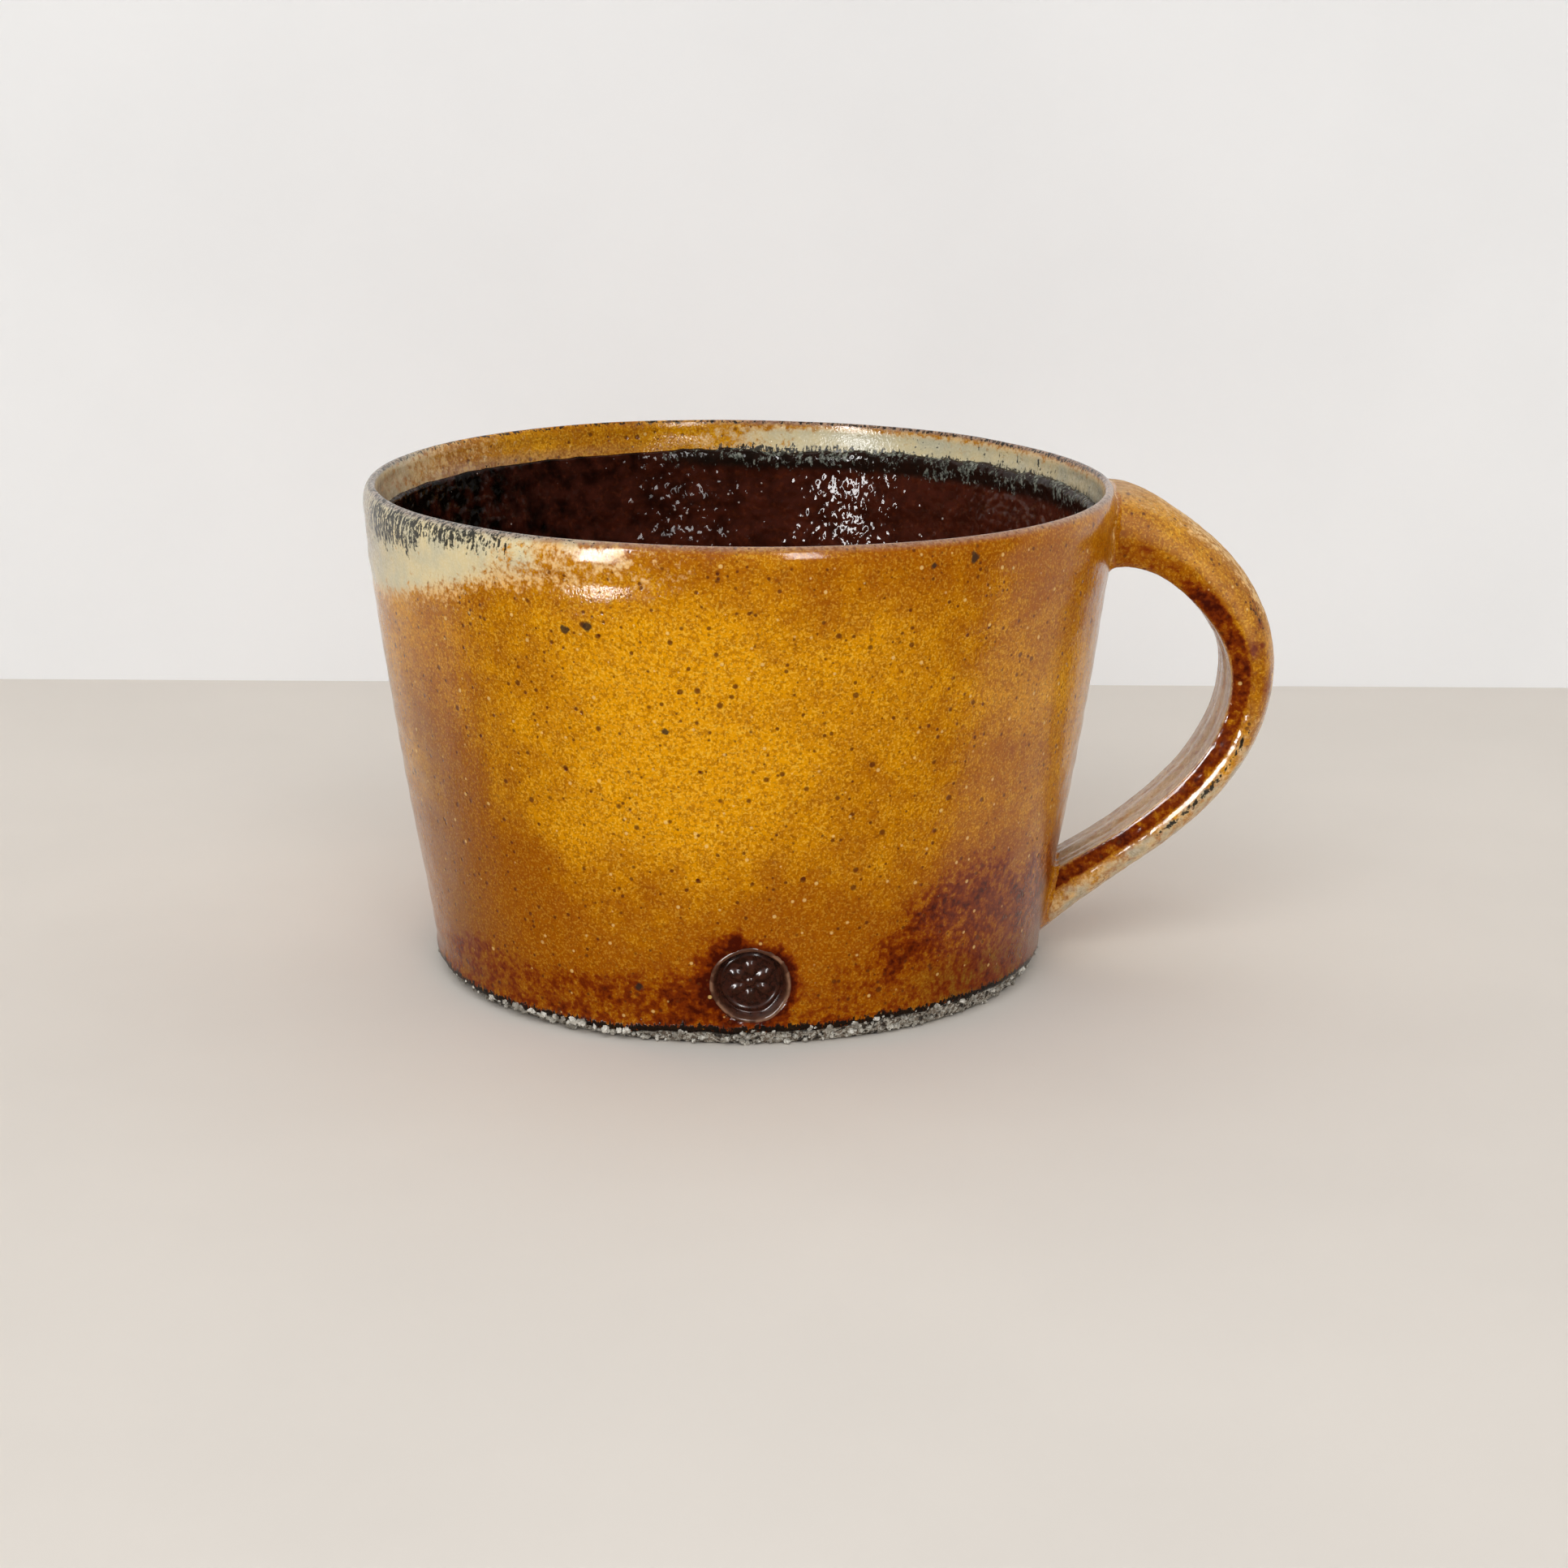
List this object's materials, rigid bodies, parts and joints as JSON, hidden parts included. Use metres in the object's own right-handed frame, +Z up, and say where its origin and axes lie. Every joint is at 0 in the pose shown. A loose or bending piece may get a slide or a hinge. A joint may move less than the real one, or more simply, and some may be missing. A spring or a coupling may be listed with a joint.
{
  "type": "stoneware mug",
  "caption": "Wide, low, flared stoneware mug with a pulled loop handle, glazed outside and inside, that holds a hot drink.",
  "frame": {"origin": "centre of the flat base, on the plane the mug stands on", "axes": "+Z up along the mug's axis, +X from the axis towards the handle, so that -Y is the side with the seal"},
  "size_m": [0.1354, 0.112, 0.073],
  "materials": {
    "stoneware_clay": "bare stoneware, rough and matt",
    "joining_slip": "fired slip, matt",
    "amber_glaze": "glossy amber glaze with fine iron specks",
    "liner_glaze": "glossy near-black glaze with a pitted skin",
    "seal_glaze": "glossy dark red-brown glaze, pooled"
  },
  "bodies": {
    "root": {"mug_body": "stoneware_clay", "pulled_handle": "stoneware_clay", "upper_joint_slip": "joining_slip", "lower_joint_slip": "joining_slip", "outer_glaze": "amber_glaze", "handle_glaze": "amber_glaze", "liner_glaze": "liner_glaze", "seal_glaze": "seal_glaze"}
  },
  "joints": []
}
